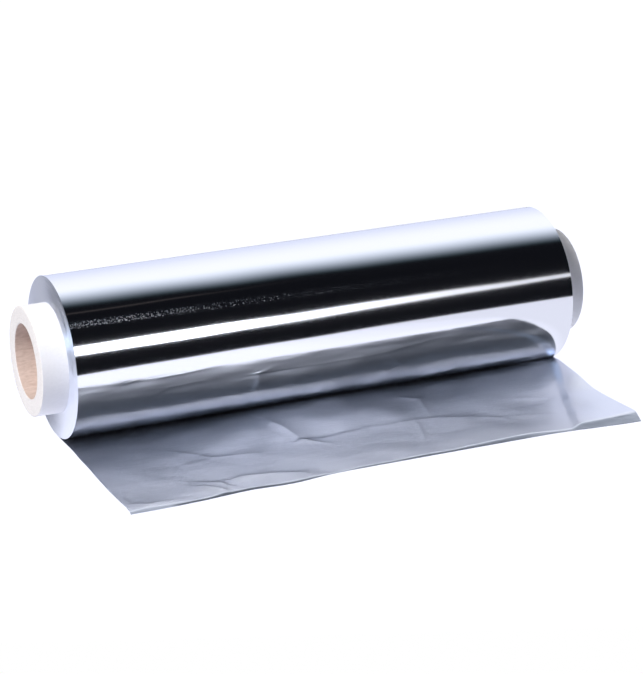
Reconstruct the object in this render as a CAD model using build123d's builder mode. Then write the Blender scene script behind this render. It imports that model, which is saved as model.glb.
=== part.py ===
"""A catering roll of aluminium foil lying on a table, with its free end drawn out in front of it.

Two pieces: a thick paper core tube, and one continuous web of foil that is wound round the core and
runs on from the underside of the roll as a short creased tail. Millimetres, +Z up, +X along the core.
The origin is on the table, straight below the middle of the core's axis, and the tail runs towards -Y.
"""
import os
from math import exp, hypot, log, sin

from build123d import *

# Core tube
CORE_LENGTH = 330.0
CORE_OUTER_DIAMETER = 61.5
CORE_BORE_DIAMETER = 42.0
CORE_EDGE_BREAK = 0.4

# Wound foil
FOIL_WIDTH = 300.0
ROLL_DIAMETER = 91.0
WEB_GAUGE = 0.3
REST_PRESS = 0.3

# Turns that show as low steps on the two ends of the winding
END_STEP_COUNT = 11
END_STEP_DEPTH = 0.35
END_STEP_PHASE = 2.4

# Free tail of the foil, measured from below the core's axis to the cut end
TAIL_LENGTH = 124.0
TAIL_FLAT_LENGTH = 14.0
TAIL_LEAVE_LENGTH = 28.0

# Right-hand side of the tail, bent up along a soft fold and turned down again at the cut end
FLAP_WIDTH_AT_CUT = 38.0
FLAP_SLOPE = 0.12
FLAP_FOLD_SOFTNESS = 4.0
LIP_SLOPE = 0.42
LIP_SOFTNESS = 0.6

# Pitch of the sections that the tail is lofted through, and of the points across each section
TAIL_SECTION_PITCH = 8.0
TAIL_POINT_PITCH = 7.5

ROLL_RADIUS = ROLL_DIAMETER / 2
CORE_RADIUS = CORE_OUTER_DIAMETER / 2
HALF_WIDTH = FOIL_WIDTH / 2
FREE_LENGTH = TAIL_LENGTH - TAIL_FLAT_LENGTH
AXIS_HEIGHT = ROLL_RADIUS - REST_PRESS
ROLL_AXIS = Axis((0, 0, AXIS_HEIGHT), (1, 0, 0))
ACROSS_ROLL = Plane(origin=(0, 0, AXIS_HEIGHT), x_dir=(1, 0, 0), z_dir=(0, -1, 0))

# Long creases pressed into the tail: where each starts and ends (distance from the left edge, distance
# in front of the axis), how high its ridge stands and how far it spreads to each side
CREASES = [
    {"start": (119, 68), "end": (197, 69), "height": 0.9, "spread": 7.0},
    {"start": (197, 69), "end": (258, 90), "height": 0.8, "spread": 8.0},
    {"start": (47, 54), "end": (89, 75), "height": 0.8, "spread": 7.0},
    {"start": (50, 98), "end": (56, 122), "height": 1.2, "spread": 6.5},
    {"start": (70, 104), "end": (76, 124), "height": 1.1, "spread": 6.5},
    {"start": (180, 80), "end": (176, 122), "height": 0.7, "spread": 8.0},
]


def soft_positive(value, softness):
    """Value where it is well above zero, nothing well below, and a smooth bend between the two."""
    return max(value, 0) + softness * log(1 + exp(-abs(value) / softness))


def crease_height(crease, across, forward):
    """Height of one crease's ridge: a bell section along its line, fading at both ends."""
    (x0, y0), (x1, y1) = crease["start"], crease["end"]
    length = hypot(x1 - x0, y1 - y0)
    along = ((across - x0) * (x1 - x0) + (forward - y0) * (y1 - y0)) / length
    aside = ((across - x0) * (y1 - y0) - (forward - y0) * (x1 - x0)) / length
    past_end = max(-along, along - length, 0)
    return crease["height"] * exp(-(hypot(aside, past_end) / crease["spread"]) ** 2)


def tail_height(across, forward):
    """Height of the tail's underside above the table at a distance from its left edge and the axis."""
    fold_length = hypot(FREE_LENGTH, FLAP_WIDTH_AT_CUT)
    from_fold_start = forward - TAIL_FLAT_LENGTH
    past_fold = ((across - FOIL_WIDTH) * FREE_LENGTH + from_fold_start * FLAP_WIDTH_AT_CUT) / fold_length
    flap = FLAP_SLOPE * soft_positive(past_fold, FLAP_FOLD_SOFTNESS)
    lip = LIP_SLOPE * (TAIL_LENGTH - forward)
    lifted = max(lip - soft_positive(lip - flap, LIP_SOFTNESS), 0)
    ridges = sum(crease_height(crease, across, forward) for crease in CREASES)
    # the tail leaves the flat strip under the roll smoothly
    leave = min((forward - TAIL_FLAT_LENGTH) / TAIL_LEAVE_LENGTH, 1)
    return (lifted + ridges) * leave * leave * (3 - 2 * leave)


def underside_points(forward):
    """Points across the tail's underside, from its left edge to its right, at one distance from the axis."""
    columns = round(FOIL_WIDTH / TAIL_POINT_PITCH)
    distances = [FOIL_WIDTH * column / columns for column in range(columns + 1)]
    return [(across - HALF_WIDTH, tail_height(across, forward)) for across in distances]


# Core tube: wound paper board, cut square with its sharp edges just broken
with BuildPart() as core_tube:
    with BuildSketch(ACROSS_ROLL) as wall_section:
        with Locations((0, (CORE_RADIUS + CORE_BORE_DIAMETER / 2) / 2)):
            Rectangle(CORE_LENGTH, CORE_RADIUS - CORE_BORE_DIAMETER / 2)
        chamfer(wall_section.vertices(), CORE_EDGE_BREAK)
    revolve(axis=ROLL_AXIS)

# Wound foil: the turns as one solid, with the tail running on from the flat underside
section_count = round(FREE_LENGTH / TAIL_SECTION_PITCH)
step_height = (ROLL_RADIUS - CORE_RADIUS) / END_STEP_COUNT
end_profile = []
for step in range(END_STEP_COUNT):
    end_x = HALF_WIDTH - END_STEP_DEPTH * (1 + sin(END_STEP_PHASE * step)) / 2
    end_profile.append((end_x, CORE_RADIUS + step * step_height))
    end_profile.append((end_x, CORE_RADIUS + (step + 1) * step_height))

with BuildPart() as wound_foil:
    with BuildSketch(ACROSS_ROLL) as half_section:
        with BuildLine():
            Polyline((0, CORE_RADIUS), *end_profile, (0, ROLL_RADIUS), close=True)
        make_face()
    revolve(axis=ROLL_AXIS)
    mirror(about=Plane.YZ)
    split(bisect_by=Plane.XY, keep=Keep.TOP)
    with BuildSketch(Plane.XY) as flat_strip:
        with Locations((0, -TAIL_FLAT_LENGTH / 2)):
            Rectangle(FOIL_WIDTH, TAIL_FLAT_LENGTH)
    extrude(amount=WEB_GAUGE)
    for section in range(section_count + 1):
        forward = TAIL_FLAT_LENGTH + FREE_LENGTH * section / section_count
        with BuildSketch(Plane.XZ.offset(forward)) as web_section:
            with BuildLine():
                underside = Spline(*underside_points(forward))
                upper_side = Spline(*[(x, z + WEB_GAUGE) for x, z in underside_points(forward)])
                Line(underside @ 0, upper_side @ 0)
                Line(underside @ 1, upper_side @ 1)
            make_face()
    loft(ruled=True)

core_tube.part.label = "core_tube"
wound_foil.part.label = "wound_foil"

os.makedirs("parts", exist_ok=True)
export_step(core_tube.part, "parts/core_tube.step")
export_step(wound_foil.part, "parts/wound_foil.step")
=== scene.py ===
# A catering roll of aluminium foil on a paper core, lying on a pale table with its free end drawn out.
# Metres, +Z up, +X along the core. The table is at z = 0, and the tail of foil runs towards -Y.
import math

import bpy
import numpy as np
from mathutils import Matrix, Vector


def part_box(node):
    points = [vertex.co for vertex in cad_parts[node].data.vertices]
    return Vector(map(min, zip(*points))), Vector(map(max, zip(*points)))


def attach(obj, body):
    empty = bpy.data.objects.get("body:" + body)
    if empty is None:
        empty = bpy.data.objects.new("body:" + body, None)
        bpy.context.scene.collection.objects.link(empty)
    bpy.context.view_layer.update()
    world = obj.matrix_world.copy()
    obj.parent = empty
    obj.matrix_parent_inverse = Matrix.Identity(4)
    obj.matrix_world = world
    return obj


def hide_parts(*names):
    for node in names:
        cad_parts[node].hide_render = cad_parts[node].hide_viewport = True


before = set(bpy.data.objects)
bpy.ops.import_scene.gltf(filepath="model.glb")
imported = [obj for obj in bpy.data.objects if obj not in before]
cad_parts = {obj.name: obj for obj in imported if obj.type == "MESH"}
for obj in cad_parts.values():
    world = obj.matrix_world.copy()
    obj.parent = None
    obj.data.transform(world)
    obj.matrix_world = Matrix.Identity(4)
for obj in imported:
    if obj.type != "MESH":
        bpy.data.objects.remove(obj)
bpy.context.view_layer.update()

# Winding: hundreds of turns of thin foil, wound tight on the core with the bright side out. The turns
# never line up exactly, so both ends show them as fine rings, and the roll's own weight presses a
# narrow flat on its underside, where it lies on its tail.
MM = 0.001
foil_low, foil_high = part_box("wound_foil")
core_low, core_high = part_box("core_tube")
AXIS_HEIGHT = (core_low.z + core_high.z) / 2
CORE_RADIUS = (core_high.z - core_low.z) / 2
ROLL_RADIUS = foil_high.z - AXIS_HEIGHT
HALF_WIDTH = foil_high.x
WEB_THICKNESS = 0.06 * MM
RIM_BREAK = 0.2 * MM
RING_COUNT = 46
RING_STAGGER = 0.14 * MM
RING_WANDER = 0.03 * MM
OUTER_COLUMNS = 72
ROUND_STEPS = 256
RIPPLES = 9
RIPPLE_HEIGHT = 0.012 * MM
RIPPLE_LENGTHS = (45, 160)
RIPPLE_TURNS = (1, 7)
# The row of dents: its angle forward from the top, its slant per metre, its spread, and where it dies out
DENT_ROW_ANGLE = math.radians(52.8)
DENT_ROW_SLANT = math.radians(13.7)
DENT_ROW_SPREAD = math.radians(4.2)
DENT_ROW_END = 150 * MM
DENT_DEPTH = 0.07 * MM
DENT_REACH = 0.5
DENTS_PER_METRE = 2200
SCUFFS_PER_METRE = 1100
SCUFF_SPAN = (0.5, 0.62)
SCUFF_ROUGHNESS = 0.3
# A noise texture's values lie nearly always in this span
NOISE_SPAN = (0.3, 0.7)
GRAIN_PER_METRE = (2600, 40, 40)
BRIGHT_COLOUR = (0.88, 0.89, 0.93, 1)
BRIGHT_ROUGHNESS = (0.075, 0.105)
EDGE_COLOUR = (0.90, 0.925, 1.0, 1)
EDGE_BRUSHING = 0.9
EDGE_BRUSH_TURN = 0.25
EDGE_MOTTLE_PER_METRE = 900
EDGE_ROUGHNESS = (0.38, 0.52)


def quads_over_grid(rows, columns, wrap_rows, wrap_columns):
    """Corner numbers of the quads between neighbouring points of a grid, stored row by row."""
    row = np.arange(rows if wrap_rows else rows - 1)[:, None]
    column = np.arange(columns if wrap_columns else columns - 1)[None, :]
    next_row = (row + 1) % rows
    next_column = (column + 1) % columns
    corners = [row * columns + column, next_row * columns + column,
               next_row * columns + next_column, row * columns + next_column]
    return np.stack(corners, axis=-1).reshape(-1, 4)


def piece_from_quads(name, points, quads, materials, material_of_quad, sharp_degrees):
    """A smooth mesh object at the origin, with edges left sharp where faces meet past an angle."""
    mesh = bpy.data.meshes.new(name)
    mesh.from_pydata(points.reshape(-1, 3), [], quads)
    for material in materials:
        mesh.materials.append(material)
    mesh.polygons.foreach_set("material_index", np.asarray(material_of_quad, dtype=np.int32))
    mesh.polygons.foreach_set("use_smooth", np.ones(len(quads), dtype=bool))
    mesh.set_sharp_from_angle(angle=math.radians(sharp_degrees))
    mesh.update()
    piece = bpy.data.objects.new(name, mesh)
    bpy.context.scene.collection.objects.link(piece)
    return piece


def turned_about_axis(along, radius, angle):
    """Points at a distance along the core and a radius, turned from straight up towards the front."""
    along, radius, angle = np.broadcast_arrays(along, radius, angle)
    return np.stack([along, -radius * np.sin(angle), AXIS_HEIGHT + radius * np.cos(angle)], axis=-1)


def outer_ripple(along, angle):
    """Height of the faint ripples of the outer turn: a sum of waves round and along the roll."""
    draw = np.random.default_rng(7)
    total = np.zeros(np.broadcast(along, angle).shape)
    for _ in range(RIPPLES):
        wave_length = draw.uniform(*RIPPLE_LENGTHS) * MM
        turns = draw.integers(*RIPPLE_TURNS)
        shift = draw.uniform(0, 2 * math.pi, 2)
        total += np.sin(2 * math.pi * along / wave_length + shift[0]) * np.cos(turns * angle + shift[1])
    return RIPPLE_HEIGHT * total


def winding_points():
    """The closed section of the winding (outside, end rings, inside, end rings) carried round the axis."""
    draw = np.random.default_rng(3)
    angle = np.linspace(0, 2 * math.pi, ROUND_STEPS, endpoint=False)[None, :]
    half_span = HALF_WIDTH - RIM_BREAK
    outer_along = np.linspace(-half_span, half_span, OUTER_COLUMNS)[:, None]
    outside = turned_about_axis(outer_along, ROLL_RADIUS + outer_ripple(outer_along, angle), angle)

    def end_rings(side):
        """Rings from the rim to the core: each turn's edge stands in by its own amount and wanders."""
        edges = np.linspace(ROLL_RADIUS - RIM_BREAK, CORE_RADIUS, RING_COUNT + 1)
        radius = np.stack([edges[:-1], edges[1:]], axis=-1).reshape(-1, 1)
        stagger = np.repeat(draw.uniform(0, RING_STAGGER, RING_COUNT), 2)[:, None]
        wander = np.repeat(draw.uniform(0, RING_WANDER, RING_COUNT), 2)[:, None]
        shift = np.repeat(draw.uniform(0, 2 * math.pi, RING_COUNT), 2)[:, None]
        depth = stagger + wander * (1 + np.sin(angle + shift)) / 2
        return turned_about_axis(side * (HALF_WIDTH - depth), radius, angle)

    points = np.concatenate([outside, end_rings(1), end_rings(-1)[::-1]])
    points[..., 2] = np.maximum(points[..., 2], WEB_THICKNESS)
    return points


def shader_network(name):
    """A new material with its node tree and its Principled shader."""
    material = bpy.data.materials.new(name)
    material.use_nodes = True
    tree = material.node_tree
    return material, tree, tree.nodes["Principled BSDF"]


def object_texture(tree, kind, scale, **settings):
    """A texture node on Object coordinates, stretched by its own scale along each axis (per metre)."""
    place = tree.nodes.new("ShaderNodeTexCoord")
    stretch = tree.nodes.new("ShaderNodeMapping")
    stretch.inputs["Scale"].default_value = scale
    texture = tree.nodes.new(kind)
    texture.inputs["Scale"].default_value = 1.0
    for socket, value in settings.items():
        texture.inputs[socket].default_value = value
    tree.links.new(place.outputs["Object"], stretch.inputs["Vector"])
    tree.links.new(stretch.outputs["Vector"], texture.inputs["Vector"])
    return texture


def remap(tree, source, low, high, to_low, to_high):
    """A Map Range node from one span of values to another, held at both ends."""
    node = tree.nodes.new("ShaderNodeMapRange")
    for socket, value in zip(("From Min", "From Max", "To Min", "To Max"), (low, high, to_low, to_high)):
        node.inputs[socket].default_value = value
    tree.links.new(source, node.inputs["Value"])
    return node.outputs["Result"]


def maths(tree, operation, *values):
    """A Math node on numbers and sockets."""
    node = tree.nodes.new("ShaderNodeMath")
    node.operation = operation
    for socket, value in zip(node.inputs, values):
        if isinstance(value, (int, float)):
            socket.default_value = value
        else:
            tree.links.new(value, socket)
    return node.outputs["Value"]


def bump(tree, height, distance, strength, under=None):
    """A Bump node that raises the surface by distance where height is one."""
    node = tree.nodes.new("ShaderNodeBump")
    node.inputs["Strength"].default_value = strength
    node.inputs["Distance"].default_value = distance
    tree.links.new(height, node.inputs["Height"])
    if under is not None:
        tree.links.new(under, node.inputs["Normal"])
    return node.outputs["Normal"]


def bright_foil():
    """The mirror side of rolled foil: faint grain along the web, and a row of small dents and scuffs."""
    material, tree, shader = shader_network("bright_foil")
    shader.inputs["Base Color"].default_value = BRIGHT_COLOUR
    shader.inputs["Metallic"].default_value = 1.0
    place = tree.nodes.new("ShaderNodeTexCoord")
    axes = tree.nodes.new("ShaderNodeSeparateXYZ")
    tree.links.new(place.outputs["Object"], axes.inputs["Vector"])
    along, behind, height = axes.outputs
    turned = maths(tree, "ARCTAN2", maths(tree, "MULTIPLY", behind, -1.0),
                   maths(tree, "SUBTRACT", height, AXIS_HEIGHT))
    row_angle = maths(tree, "MULTIPLY_ADD", along, DENT_ROW_SLANT, DENT_ROW_ANGLE)
    off_row = maths(tree, "ABSOLUTE", maths(tree, "SUBTRACT", turned, row_angle))
    in_row = remap(tree, off_row, DENT_ROW_SPREAD / 3, DENT_ROW_SPREAD, 1.0, 0.0)
    fade = remap(tree, along, -HALF_WIDTH, DENT_ROW_END, 1.0, 0.0)
    row = maths(tree, "MULTIPLY", in_row, fade)
    dents = object_texture(tree, "ShaderNodeTexVoronoi", (DENTS_PER_METRE,) * 3, Randomness=1.0)
    pits = remap(tree, dents.outputs["Distance"], 0.0, DENT_REACH, 1.0, 0.0)
    depth = maths(tree, "MULTIPLY", pits, row)
    tree.links.new(bump(tree, depth, DENT_DEPTH, 1.0), shader.inputs["Normal"])
    scuffs = object_texture(tree, "ShaderNodeTexNoise", (SCUFFS_PER_METRE,) * 3, Detail=2.0)
    scuff_marks = remap(tree, scuffs.outputs["Fac"], *SCUFF_SPAN, 0.0, SCUFF_ROUGHNESS)
    scuffed = maths(tree, "MULTIPLY", scuff_marks, row)
    grain = object_texture(tree, "ShaderNodeTexNoise", GRAIN_PER_METRE, Detail=3.0)
    smooth = remap(tree, grain.outputs["Fac"], *NOISE_SPAN, *BRIGHT_ROUGHNESS)
    tree.links.new(maths(tree, "ADD", smooth, scuffed), shader.inputs["Roughness"])
    return material


def turn_edges():
    """The slit edges of the turns: bright metal, brushed round and round by the slitting knife."""
    material, tree, shader = shader_network("turn_edges")
    shader.inputs["Base Color"].default_value = EDGE_COLOUR
    shader.inputs["Metallic"].default_value = 1.0
    shader.inputs["Anisotropic"].default_value = EDGE_BRUSHING
    shader.inputs["Anisotropic Rotation"].default_value = EDGE_BRUSH_TURN
    around = tree.nodes.new("ShaderNodeTangent")
    around.direction_type = "RADIAL"
    around.axis = "X"
    tree.links.new(around.outputs["Tangent"], shader.inputs["Tangent"])
    mottle = object_texture(tree, "ShaderNodeTexNoise", (EDGE_MOTTLE_PER_METRE,) * 3, Detail=2.0)
    roughness = remap(tree, mottle.outputs["Fac"], *NOISE_SPAN, *EDGE_ROUGHNESS)
    tree.links.new(roughness, shader.inputs["Roughness"])
    return material


foil_bright = bright_foil()
winding_grid = winding_points()
winding_rows, winding_columns, _ = winding_grid.shape
winding_quads = quads_over_grid(winding_rows, winding_columns, True, True)
is_end = (np.arange(len(winding_quads)) // winding_columns) >= OUTER_COLUMNS - 1
winding = piece_from_quads("foil_winding", winding_grid, winding_quads, [foil_bright, turn_edges()],
                           is_end, sharp_degrees=25)
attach(winding, "root")
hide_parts("wound_foil")

# Tail: the free end of the same web, drawn out from under the roll and cut off square by hand. Its upper
# face is the dull side of the foil. It is creased from handling, its right-hand side is bent up along a
# soft fold, and its cut end turns down to the table.
TAIL_LENGTH = -foil_low.y
TAIL_COLUMNS = 331
TAIL_ROWS = 118
CUT_ROWS = 22
CUT_REACH = 5 * MM
# The cut's run: shorter than straight in the middle, longer at both ends, with one bow in it
CUT_SHORT = 3.7 * MM
CUT_LEFT_STEP = 6.1 * MM
CUT_LEFT_PLACE = -92 * MM
CUT_LEFT_SPREAD = 12 * MM
CUT_BOW = 3.4 * MM
CUT_BOW_PLACE = -60 * MM
CUT_BOW_REACH = 18 * MM
CUT_RIGHT = 4.5 * MM
CUT_RIGHT_FROM = 90 * MM
CUT_RIGHT_REACH = 60 * MM
# In front of the roll: out of the nip the web lifts off the table, and then comes down to a valley. Its
# right-hand side stays against the roll from the start. Near the roll the web is kept below its underside
NIP_FROM = 6 * MM
NIP_REACH = 22 * MM
NIP_RIGHT_FROM = 95 * MM
NIP_RIGHT_REACH = 45 * MM
NEAR_ROLL = 0.9 * ROLL_RADIUS
VALLEY_DISTANCE = 66 * MM
VALLEY_SOFTNESS = 2 * MM
DESCENT_POWER = 0.55
LEFT_LIFT = 0.8 * MM
MIDDLE_LIFT = 5.4 * MM
MIDDLE_LIFT_PLACE = -10 * MM
MIDDLE_LIFT_SPREAD = 68 * MM
RIGHT_LIFT = 5.9 * MM
RIGHT_LIFT_FROM = 45 * MM
# The right-hand corner is bent up along a fold, and another fold runs beside it as a low step
CORNER_FOLD = [(150 * MM, 66 * MM), (105 * MM, 124 * MM)]
CORNER_SLOPE = 0.05
CORNER_SOFTNESS = 1.5 * MM
STEP_FOLD = [(148 * MM, 27 * MM), (113.6 * MM, 116 * MM)]
STEP_SLOPE = 0.33
STEP_WIDTH = 5 * MM
STEP_SOFTNESS = 0.5 * MM
# Past the valley the web rises a little towards the cut, a little more on the right
FRONT_LIFT = 0.7 * MM
FRONT_LIFT_FROM = 90 * MM
FRONT_LIFT_REACH = 30 * MM
FRONT_RISE = 1.3 * MM
FRONT_RISE_PLACE = 68 * MM
FRONT_RISE_SPREAD = 34 * MM
FRONT_RISE_SOFTNESS = 3 * MM
# The lip that turns down to the table at the cut is steepest left of the middle
LIP_SLOPE = 0.95
LIP_LEFT_SLOPE = 0.55
LIP_LEFT_FROM = -117 * MM
LIP_LEFT_REACH = 12 * MM
LIP_RIGHT_SLOPE = 0.62
LIP_RIGHT_REACH = 120 * MM
LIP_SOFTNESS = 0.2 * MM
WAVE_COUNT = 14
WAVE_HEIGHT = 0.05 * MM
WAVE_LENGTHS = (18, 60)
WAVE_HEADING = 1.2
WAVE_SHIFT = 6.3
DULL_COLOUR = (0.84, 0.862, 0.94, 1)
DULL_ROUGHNESS = (0.34, 0.39)
CRINKLES_PER_METRE = (45, 130, 130)
CRINKLE_HEIGHT = 0.28 * MM
GRAIN_HEIGHT = 0.003 * MM
CREASE_ROUNDING = 0.35 * MM
# Each crease: its line in mm (place across the web, distance in front of the axis, height of its ridge),
# and how far its slope reaches towards the roll and towards the cut
CREASES = [
    ([(-31, 70, 0.6), (-18, 71.5, 0.45), (9, 68.5, 0.3), (21, 69.5, 0.3), (39, 69.5, 0.35), (52, 71.5, 0.3),
      (82, 85, 0.25), (112, 93.5, 0.2)], 1.6, 5.0),
    ([(-104, 53, 0.15), (-93.5, 62, 0.3), (-83.5, 71.5, 0.35), (-72, 73.4, 0.3),
      (-60.5, 75.4, 0.15)], 1.5, 4.0),
    ([(-101, 75.4, 0.1), (-92.6, 74, 0.2), (-83.4, 71.7, 0.2)], 1.5, 3.0),
    ([(-40, 40, 0.6), (-35, 52, 0.9), (-31, 69, 0.2)], 6.0, 3.0),
    ([(-31, 70.3, 0.6), (-19, 79.8, 0.2)], 1.5, 2.0),
    ([(-106, 100, 0.4), (-94.2, 110.8, 1.3)], 2.0, 5.0),
    ([(-104, 110, 0.9), (-97, 118, 1.1)], 2.0, 4.0),
    ([(-81, 106, 1.5), (-66, 108, 1.2), (-49, 114, 0.5)], 2.5, 8.0),
    ([(-148, 102, 0.1), (-145.7, 116, 0.5), (-139, 120, 0.8), (-128, 120, 0.6),
      (-118, 122, 0.2)], 2.5, 6.0),
    ([(62, 20.7, 0.3), (73, 22.3, 0.4), (85, 27, 0.2)], 1.5, 4.0),
    ([(43, 38, 0.6), (52, 44, 1.0), (48, 66, 0.2)], 5.0, 5.0),
    ([(36.6, 74.8, 0.3), (30.8, 95.8, 0.2)], 2.0, 4.0),
    ([(94, 61.6, 0.1), (111, 66.4, 0.3), (120, 69.6, 0.1)], 2.0, 5.0),
    ([(76, 82, 0.1), (84, 89, 0.2)], 2.0, 4.0),
]


def soft_positive(value, softness):
    """Value well above zero, nothing well below, and a smooth bend between: softness * log(1 + e^(v/s))."""
    return np.maximum(value, 0) + softness * np.log1p(np.exp(-np.abs(value) / softness))


def smooth_step(value):
    """Zero to one along the S curve 3v^2 - 2v^3."""
    held = np.clip(value, 0, 1)
    return held * held * (3 - 2 * held)


def past_line(across, forward, line):
    """Distance to the right of a straight line that runs from the roll towards the cut."""
    (x0, s0), (x1, s1) = line
    return ((across - x0) * (s1 - s0) - (forward - s0) * (x1 - x0)) / math.hypot(x1 - x0, s1 - s0)


def crease_ridge(across, forward, line, back_reach, front_reach):
    """Height of one crease: its own height there * e^(-d / reach), d the rounded distance to its line."""
    nearest = np.full(across.shape, np.inf)
    ridge = np.zeros(across.shape)
    for (x0, s0, h0), (x1, s1, h1) in zip(line[:-1], line[1:]):
        span_x, span_s = x1 - x0, s1 - s0
        share = ((across - x0) * span_x + (forward - s0) * span_s) / (span_x**2 + span_s**2)
        share = np.clip(share, 0, 1)
        distance = np.hypot(across - x0 - share * span_x, forward - s0 - share * span_s)
        in_front = (forward - s0) * span_x > (across - x0) * span_s
        reach = np.where(in_front, front_reach, back_reach)
        rounded = np.hypot(distance, CREASE_ROUNDING) - CREASE_ROUNDING
        here = (h0 + (h1 - h0) * share) * np.exp(-rounded / reach)
        ridge = np.where(distance < nearest, here, ridge)
        nearest = np.minimum(nearest, distance)
    return ridge


def web_waves(across, forward):
    """Height of the soft unevenness of the web: a sum of slanted sine waves of different lengths."""
    draw = np.random.default_rng(21)
    total = np.zeros(across.shape)
    for _ in range(WAVE_COUNT):
        wave_length = draw.uniform(*WAVE_LENGTHS) * MM
        heading = draw.uniform(-WAVE_HEADING, WAVE_HEADING)
        shift = draw.uniform(0, WAVE_SHIFT)
        distance = math.sin(heading) * across + math.cos(heading) * forward
        total += np.sin(2 * math.pi / wave_length * distance + shift)
    return WAVE_HEIGHT * total


def tail_height(across, forward, cut):
    """Height of the underside: lift, folds, rise, waves and creases added up, then limited by the slope of
    the lip down to the cut, and kept below the roll and above the table."""
    roll_side = smooth_step((across - RIGHT_LIFT_FROM) / (HALF_WIDTH - RIGHT_LIFT_FROM))
    middle = np.exp(-((across - MIDDLE_LIFT_PLACE) / MIDDLE_LIFT_SPREAD) ** 2)
    roll_lift = LEFT_LIFT + (RIGHT_LIFT - LEFT_LIFT) * roll_side + MIDDLE_LIFT * middle
    to_valley = soft_positive(VALLEY_DISTANCE - forward, VALLEY_SOFTNESS) / VALLEY_DISTANCE
    out_of_nip = smooth_step((forward - NIP_FROM) / NIP_REACH)
    against_roll = smooth_step((across - NIP_RIGHT_FROM) / NIP_RIGHT_REACH)
    lifted = roll_lift * to_valley**DESCENT_POWER * np.maximum(out_of_nip, against_roll)
    lifted += CORNER_SLOPE * soft_positive(past_line(across, forward, CORNER_FOLD), CORNER_SOFTNESS)
    past_step = past_line(across, forward, STEP_FOLD)
    lifted += STEP_SLOPE * (soft_positive(past_step + STEP_WIDTH / 2, STEP_SOFTNESS)
                            - soft_positive(past_step - STEP_WIDTH / 2, STEP_SOFTNESS))
    lifted += FRONT_LIFT * smooth_step((forward - FRONT_LIFT_FROM) / FRONT_LIFT_REACH)
    right_front = np.exp(-((across - FRONT_RISE_PLACE) / FRONT_RISE_SPREAD) ** 2)
    past_valley = soft_positive(forward - VALLEY_DISTANCE, FRONT_RISE_SOFTNESS)
    lifted += FRONT_RISE * right_front * past_valley / VALLEY_DISTANCE
    lifted += web_waves(across, forward)
    for line, back_reach, front_reach in CREASES:
        line = [(x * MM, s * MM, h * MM) for x, s, h in line]
        lifted += crease_ridge(across, forward, line, back_reach * MM, front_reach * MM)
    right_lip = smooth_step(across / LIP_RIGHT_REACH)
    left_lip = smooth_step((LIP_LEFT_FROM - across) / LIP_LEFT_REACH)
    lip_slope = LIP_SLOPE + (LIP_RIGHT_SLOPE - LIP_SLOPE) * right_lip
    lip_slope += (LIP_LEFT_SLOPE - LIP_SLOPE) * left_lip
    lip = lip_slope * (cut - forward)
    lifted = lip - soft_positive(lip - lifted, LIP_SOFTNESS)
    below_roll = AXIS_HEIGHT - np.sqrt(ROLL_RADIUS**2 - np.minimum(forward, NEAR_ROLL) ** 2)
    lifted = np.where(forward < NEAR_ROLL, np.minimum(lifted, below_roll - WEB_THICKNESS), lifted)
    return np.maximum(lifted, 0)


def tail_points():
    """Rows from below the axis to the cut; each row is the upper face left to right, then the underside."""
    across = np.linspace(-HALF_WIDTH, HALF_WIDTH, TAIL_COLUMNS)[None, :]
    left_step = CUT_LEFT_STEP / (1 + np.exp((across - CUT_LEFT_PLACE) / CUT_LEFT_SPREAD))
    bow = CUT_BOW * np.exp(-((across - CUT_BOW_PLACE) / CUT_BOW_REACH) ** 2)
    right_end = CUT_RIGHT * smooth_step((across - CUT_RIGHT_FROM) / CUT_RIGHT_REACH)
    cut = TAIL_LENGTH - CUT_SHORT + left_step + bow + right_end
    main_rows = np.linspace(0, 1, TAIL_ROWS)[:, None] * (cut - CUT_REACH)
    last_rows = cut - CUT_REACH * np.linspace(1, 0, CUT_ROWS + 1)[1:, None]
    forward = np.concatenate([main_rows, last_rows])
    across = across + 0 * forward
    under = tail_height(across, forward, cut)
    lower = np.stack([across, -forward, under], axis=-1)
    upper = lower + np.array([0, 0, WEB_THICKNESS])
    return np.concatenate([upper, lower[:, ::-1]], axis=1)


def dull_foil():
    """The dull side of rolled foil: a satin sheen over fine crinkles and the grain of rolling."""
    material, tree, shader = shader_network("dull_foil")
    shader.inputs["Base Color"].default_value = DULL_COLOUR
    shader.inputs["Metallic"].default_value = 1.0
    grain = object_texture(tree, "ShaderNodeTexNoise", GRAIN_PER_METRE, Detail=3.0)
    roughness = remap(tree, grain.outputs["Fac"], *NOISE_SPAN, *DULL_ROUGHNESS)
    tree.links.new(roughness, shader.inputs["Roughness"])
    crinkle = object_texture(tree, "ShaderNodeTexNoise", CRINKLES_PER_METRE, Detail=4.0, Roughness=0.6)
    crinkled = bump(tree, crinkle.outputs["Fac"], CRINKLE_HEIGHT, 1.0)
    grained = bump(tree, grain.outputs["Fac"], GRAIN_HEIGHT, 1.0, crinkled)
    tree.links.new(grained, shader.inputs["Normal"])
    return material


tail_grid = tail_points()
tail_rows, tail_loop, _ = tail_grid.shape
tail_sides = quads_over_grid(tail_rows, tail_loop, False, True)
top = np.arange(TAIL_COLUMNS - 1)
start_cap = np.stack([top, top + 1, tail_loop - 2 - top, tail_loop - 1 - top], axis=-1)
end_cap = start_cap[:, ::-1] + (tail_rows - 1) * tail_loop
tail_quads = np.concatenate([tail_sides, start_cap, end_cap])
is_under = np.concatenate([np.arange(len(tail_sides)) % tail_loop >= TAIL_COLUMNS,
                           np.ones(2 * len(top), dtype=bool)])
tail = piece_from_quads("foil_tail", tail_grid, tail_quads, [dull_foil(), foil_bright], is_under,
                        sharp_degrees=60)
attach(tail, "root")
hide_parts("wound_foil")

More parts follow.
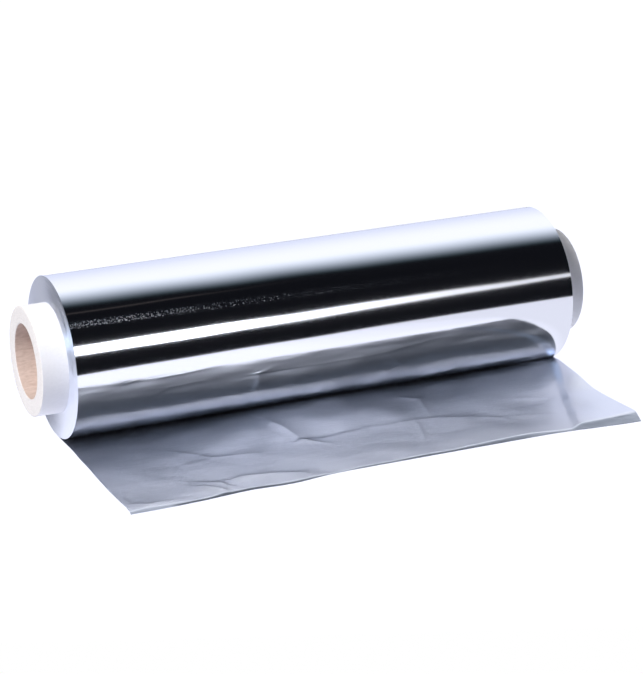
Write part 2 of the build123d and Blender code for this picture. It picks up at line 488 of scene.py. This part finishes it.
# Core: a thick tube of spirally wound paper board, white liner outside and bare kraft inside, sawn off
# square so that its plies show as fine rings on the pale cut ends.
BORE_RADIUS = 21.0 * MM
HALF_CORE = core_high.x
CORE_BREAK = 0.4 * MM
PLY_COUNT = 16
PLY_RELIEF = 0.08 * MM
PLY_INSET = 0.06
CORE_STEPS = 192
CORE_COLUMNS = 40
# Each paper: its name, its colour, its darker fibres, its roughness and its fibres per metre
PAPERS = [
    ("white_liner", (0.88, 0.87, 0.90), (0.85, 0.84, 0.87), 0.6, (500, 900, 900)),
    ("cut_board", (0.74, 0.71, 0.70), (0.62, 0.585, 0.565), 0.85, (900, 1800, 1800)),
    ("kraft_liner", (0.66, 0.525, 0.465), (0.55, 0.42, 0.36), 0.8, (260, 900, 900)),
]
FIBRE_SPAN = (0.35, 0.6)
FIBRE_HEIGHT = 0.05 * MM
FIBRE_STRENGTH = 0.6


def core_points():
    """The closed section of the tube (outside, plies of one end, bore, plies of the other) turned round."""
    draw = np.random.default_rng(11)
    angle = np.linspace(0, 2 * math.pi, CORE_STEPS, endpoint=False)[None, :]
    straight = np.linspace(-HALF_CORE + CORE_BREAK, HALF_CORE - CORE_BREAK, CORE_COLUMNS)[:, None]
    outside = turned_about_axis(straight, CORE_RADIUS, angle)
    bore = turned_about_axis(straight[::-1], BORE_RADIUS, angle)

    def end_plies(side):
        """Ply edges from the outside to the bore, each standing in or out by a little of its own."""
        edges = np.linspace(CORE_RADIUS - CORE_BREAK, BORE_RADIUS + CORE_BREAK, PLY_COUNT + 1)
        inset = PLY_INSET * (edges[0] - edges[1])
        radius = np.stack([edges[:-1] - inset, edges[1:] + inset], axis=-1).reshape(-1, 1)
        relief = np.repeat(draw.uniform(0, PLY_RELIEF, PLY_COUNT), 2)[:, None]
        return turned_about_axis(side * (HALF_CORE - relief), radius, angle)

    return np.concatenate([outside, end_plies(1), bore, end_plies(-1)[::-1]])


def paper_material(name, colour, dark_colour, roughness, fibre_scale):
    """Uncoated paper: matt, with a mottle of short fibres in its colour and its surface."""
    material, tree, shader = shader_network(name)
    shader.inputs["Roughness"].default_value = roughness
    fibres = object_texture(tree, "ShaderNodeTexNoise", fibre_scale, Detail=4.0, Roughness=0.6)
    tint = tree.nodes.new("ShaderNodeMix")
    tint.data_type = "RGBA"
    tint.inputs["A"].default_value = (*dark_colour, 1)
    tint.inputs["B"].default_value = (*colour, 1)
    tree.links.new(remap(tree, fibres.outputs["Fac"], *FIBRE_SPAN, 0.0, 1.0), tint.inputs["Factor"])
    tree.links.new(tint.outputs["Result"], shader.inputs["Base Color"])
    raised = bump(tree, fibres.outputs["Fac"], FIBRE_HEIGHT, FIBRE_STRENGTH)
    tree.links.new(raised, shader.inputs["Normal"])
    return material


core_grid = core_points()
core_rows, core_columns, _ = core_grid.shape
core_quads = quads_over_grid(core_rows, core_columns, True, True)
core_row_of_quad = np.arange(len(core_quads)) // core_columns
end_rows = 2 * PLY_COUNT
core_material = np.ones(len(core_quads), dtype=np.int32)
core_material[core_row_of_quad < CORE_COLUMNS] = 0
bore_start = CORE_COLUMNS + end_rows
bore_end = bore_start + CORE_COLUMNS - 1
core_material[(core_row_of_quad >= bore_start) & (core_row_of_quad < bore_end)] = 2
paper_core = piece_from_quads("paper_core", core_grid, core_quads,
                              [paper_material(*paper) for paper in PAPERS], core_material, sharp_degrees=40)
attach(paper_core, "root")
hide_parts("core_tube")

# Table: a light table, a sheet of white acrylic lit from below so that nothing throws a shadow on it. Its
# front edge faces the viewer and ends at a corner on the right. It looks white all over to the camera, but
# the light it gives off elsewhere has a painted falloff on the right and a painted shadow behind the roll's
# left end, so the foil mirrors it dimmer there.
TABLE_DROP = 0.15 * MM
TABLE_OUTLINE = [(-1.6, 0.31), (0.272, -0.455), (4.0, 3.27), (4.0, 6.0), (-1.6, 6.0)]
TABLE_COLOUR = (0.02, 0.02, 0.02, 1)
GLOW_COLOUR = (0.86, 0.88, 1.0, 1)
GLOW = 1.24
RIGHT_PAINTED_FALLOFF = 0.28
BEHIND_PAINTED_SHADOW = 0.62
# Where the painted falloff and the painted shadow start and where they are full, across the table (x) and
# back over it (y)
TABLE_CORNER_X = (0.02, 0.20)
TABLE_CORNER_Y = (-0.12, -0.16)
TABLE_RIGHT_X = (0.145, 0.16)
TABLE_LEFT_X = (-0.13, -0.17)
TABLE_BEHIND_Y = (-0.075, -0.045)
TABLE_BEHIND_SLANT = 0.5
table_mesh = bpy.data.meshes.new("table")
table_mesh.from_pydata([(x, y, -TABLE_DROP) for x, y in TABLE_OUTLINE], [], [range(len(TABLE_OUTLINE))])
table_white, table_tree, table_shader = shader_network("table_white")
table_shader.inputs["Base Color"].default_value = TABLE_COLOUR
table_shader.inputs["Roughness"].default_value = 1.0
table_shader.inputs["Specular IOR Level"].default_value = 0.0
table_shader.inputs["Emission Color"].default_value = GLOW_COLOUR
table_place = table_tree.nodes.new("ShaderNodeTexCoord")
table_axes = table_tree.nodes.new("ShaderNodeSeparateXYZ")
table_tree.links.new(table_place.outputs["Object"], table_axes.inputs["Vector"])
table_x, table_y, _ = table_axes.outputs
in_corner = maths(table_tree, "MULTIPLY", remap(table_tree, table_x, *TABLE_CORNER_X, 0.0, 1.0),
                  remap(table_tree, table_y, *TABLE_CORNER_Y, 0.0, 1.0))
falloff_on_right_mask = maths(table_tree, "MAXIMUM", in_corner, remap(table_tree, table_x, *TABLE_RIGHT_X, 0.0, 1.0))
slanted_y = maths(table_tree, "MULTIPLY_ADD", table_x, TABLE_BEHIND_SLANT, table_y)
shadow_behind_left_mask = maths(table_tree, "MULTIPLY", remap(table_tree, table_x, *TABLE_LEFT_X, 0.0, 1.0),
                    remap(table_tree, slanted_y, *TABLE_BEHIND_Y, 0.0, 1.0))
# Painted falloff on the right and painted shadow behind the roll's left end, taken off the glow for every
# ray but the camera's
glow_after_painted_falloff = maths(table_tree, "MULTIPLY_ADD", falloff_on_right_mask, -RIGHT_PAINTED_FALLOFF, GLOW)
mirrored_glow = maths(table_tree, "MULTIPLY_ADD", shadow_behind_left_mask, -BEHIND_PAINTED_SHADOW, glow_after_painted_falloff)
table_path = table_tree.nodes.new("ShaderNodeLightPath")
seen_glow = maths(table_tree, "MULTIPLY", table_path.outputs["Is Camera Ray"], GLOW)
table_glow = maths(table_tree, "MAXIMUM", seen_glow, mirrored_glow)
table_tree.links.new(table_glow, table_shader.inputs["Emission Strength"])
table_mesh.materials.append(table_white)
table = bpy.data.objects.new("table", table_mesh)
bpy.context.scene.collection.objects.link(table)

# Light: a large diffuser overhead and behind, a strip light in front to the right, a cool panel in front
# to the left, and a dark room between them, so that the bright foil shows dark and white bands along its
# length. Two lamps that the foil doesn't mirror light the paper core.
LAMP_SIZE = 0.6
LEFT_LAMP_POWER = 26.0
TOP_LAMP_POWER = 2.2
# Rises are degrees up from the front horizon: 90 is straight up and 180 the back horizon. Sides are how
# far a direction points to the right, from -1 to 1. Three values are a band's two ends and its softness
DIFFUSER_MIDDLE = 0.36
DIFFUSER_SIDES = (0.2, 0.5)
DIFFUSER_SLANT = 56.0
BACK_RISES = (122.0, 180.0)
LEFT_SIDES = (-0.5, 0.1)
LEFT_SHARE = 0.05
STRIP_LOW = 17.3
STRIP_LOW_GAIN = 3.8
STRIP_LOW_SIDES = (0.31, 0.46)
STRIP_HIGH = 29.0
STRIP_HIGH_LOSS = 2.8
STRIP_HIGH_SIDES = (0.405, 0.46)
STRIP_SOFTNESS = 1.2
STRIP_SIDES = (-0.05, 0.52, 0.012)
STRIP_FADE = 0.6
STRIP_FADE_SIDES = (0.30, 0.47)
STRIP_SHINE = 3.8
STRIP_SHINE_SIDES = (0.285, 0.335, 0.015)
PANEL_RISES = (31.0, 52.0, 2.0)
PANEL_SIDES = (-0.65, -0.35, 0.02)
LINE_RISES = (76.4, 77.8, 0.7)
LINE_SIDES = (0.2, 0.33, 0.03)
# For red, green and blue: where the diffuser starts and is full, its level and what it loses at the back,
# then the strip, the cool panel, a faint warm line and the dark room
COLOUR_LEVELS = [
    (81.3, 118.0, 1.08, 0.28, 1.98, 8.6, 0.055, 0.0050),
    (80.8, 116.6, 1.10, 0.25, 2.00, 10.5, 0.047, 0.0054),
    (80.8, 114.4, 1.15, 0.11, 2.10, 13.2, 0.045, 0.0075),
]
studio = bpy.data.worlds.new("studio")
bpy.context.scene.world = studio
studio.cycles_visibility.diffuse = False
studio.use_nodes = True
sky = studio.node_tree
sky_light = sky.nodes["Background"]


def sky_edge(value, start, end):
    """Zero before start and one past end, along an S curve."""
    node = sky.nodes.new("ShaderNodeMapRange")
    node.interpolation_type = "SMOOTHSTEP"
    for socket, number in (("From Min", start), ("From Max", end)):
        if isinstance(number, (int, float)):
            node.inputs[socket].default_value = number
        else:
            sky.links.new(number, node.inputs[socket])
    sky.links.new(value, node.inputs["Value"])
    return node.outputs["Result"]


def sky_band(value, low, high, soft):
    """One between low and high, zero outside, with soft edges centred on both."""
    past_low = sky_edge(value, maths(sky, "SUBTRACT", low, soft), maths(sky, "ADD", low, soft))
    past_high = sky_edge(value, maths(sky, "SUBTRACT", high, soft), maths(sky, "ADD", high, soft))
    return maths(sky, "MULTIPLY", past_low, maths(sky, "SUBTRACT", 1.0, past_high))


def sky_colour(levels):
    """A colour from its red, green and blue levels."""
    node = sky.nodes.new("ShaderNodeCombineXYZ")
    for socket, level in zip(node.inputs, levels):
        sky.links.new(level, socket)
    return node.outputs["Vector"]


sky_place = sky.nodes.new("ShaderNodeTexCoord")
sky_axes = sky.nodes.new("ShaderNodeSeparateXYZ")
sky.links.new(sky_place.outputs["Generated"], sky_axes.inputs["Vector"])
to_right, to_back, to_top = sky_axes.outputs
rise = maths(sky, "DEGREES", maths(sky, "ARCTAN2", to_top, maths(sky, "MULTIPLY", to_back, -1.0)))
side_low, side_high = DIFFUSER_SIDES
diffuser_side = maths(sky, "MINIMUM", maths(sky, "MAXIMUM", to_right, side_low), side_high)
off_middle = maths(sky, "SUBTRACT", diffuser_side, DIFFUSER_MIDDLE)
slanted_rise = maths(sky, "MULTIPLY_ADD", off_middle, DIFFUSER_SLANT, rise)
low_edge = maths(sky, "MULTIPLY_ADD", sky_edge(to_right, *STRIP_LOW_SIDES), STRIP_LOW_GAIN, STRIP_LOW)
high_edge = maths(sky, "MULTIPLY_ADD", sky_edge(to_right, *STRIP_HIGH_SIDES), -STRIP_HIGH_LOSS, STRIP_HIGH)
strip_fade = maths(sky, "MULTIPLY_ADD", sky_edge(to_right, *STRIP_FADE_SIDES), -STRIP_FADE, 1.0)
strip_shine = maths(sky, "MULTIPLY_ADD", sky_band(to_right, *STRIP_SHINE_SIDES), STRIP_SHINE, strip_fade)
strip = maths(sky, "MULTIPLY", sky_band(rise, low_edge, high_edge, STRIP_SOFTNESS),
              maths(sky, "MULTIPLY", strip_shine, sky_band(to_right, *STRIP_SIDES)))
panel = maths(sky, "MULTIPLY", sky_band(rise, *PANEL_RISES), sky_band(to_right, *PANEL_SIDES))
line = maths(sky, "MULTIPLY", sky_band(rise, *LINE_RISES), sky_band(to_right, *LINE_SIDES))
low_back = sky_edge(rise, *BACK_RISES)
left_share = maths(sky, "MULTIPLY_ADD", sky_edge(to_right, *LEFT_SIDES), 1.0 - LEFT_SHARE, LEFT_SHARE)
sky_levels = []
for start, full, level, back_loss, strip_level, panel_level, line_level, dark in COLOUR_LEVELS:
    evenness = maths(sky, "MULTIPLY", maths(sky, "MULTIPLY_ADD", low_back, -back_loss, 1.0), left_share)
    diffuser = maths(sky, "MULTIPLY", sky_edge(slanted_rise, start, full), evenness)
    total = maths(sky, "MULTIPLY_ADD", diffuser, level, dark)
    total = maths(sky, "MULTIPLY_ADD", strip, strip_level, total)
    total = maths(sky, "MULTIPLY_ADD", panel, panel_level, total)
    sky_levels.append(maths(sky, "MULTIPLY_ADD", line, line_level, total))
sky.links.new(sky_colour(sky_levels), sky_light.inputs["Color"])
plain_white = sky.nodes.new("ShaderNodeBackground")
plain_white.inputs["Color"].default_value = (1, 1, 1, 1)
sky_path = sky.nodes.new("ShaderNodeLightPath")
choice = sky.nodes.new("ShaderNodeMixShader")
sky.links.new(sky_path.outputs["Is Camera Ray"], choice.inputs["Fac"])
sky.links.new(sky_light.outputs["Background"], choice.inputs[1])
sky.links.new(plain_white.outputs["Background"], choice.inputs[2])
sky.links.new(choice.outputs["Shader"], sky.nodes["World Output"].inputs["Surface"])


def soft_light(name, place, aim, power):
    """A square area light at a place, aimed at a point, that shows only by what it lights."""
    lamp = bpy.data.lights.new(name, "AREA")
    lamp.size = LAMP_SIZE
    lamp.energy = power
    light = bpy.data.objects.new(name, lamp)
    bpy.context.scene.collection.objects.link(light)
    light.location = place
    light.rotation_euler = (Vector(aim) - Vector(place)).to_track_quat("-Z", "Y").to_euler()
    light.visible_camera = False
    light.visible_glossy = False


soft_light("left_lamp", (-1.0, -0.45, 1.0), (-0.16, 0, 0.045), LEFT_LAMP_POWER)
soft_light("top_lamp", (0.0, 0.1, 1.0), (0, 0, 0.045), TOP_LAMP_POWER)

# Camera: a little to the left of the roll and above it, as the roll is seen across a table.
EYE = Vector((-0.5097, -1.2326, 0.4910))
RIGHT = Vector((0.9184, -0.3951, -0.0194))
UP = Vector((0.1450, 0.2906, 0.9458))
BACK = Vector((-0.3681, -0.8714, 0.3242))
LENS = 131.45
SENSOR_WIDTH = 36.0
camera = bpy.data.objects.new("camera", bpy.data.cameras.new("camera"))
bpy.context.scene.collection.objects.link(camera)
camera.data.sensor_width = SENSOR_WIDTH
camera.data.lens = LENS
camera.matrix_world = Matrix.Translation(EYE) @ Matrix((RIGHT, UP, BACK)).transposed().to_4x4()
bpy.context.scene.camera = camera
bpy.context.scene.view_settings.view_transform = "Standard"
bpy.context.scene.cycles.glossy_bounces = 3
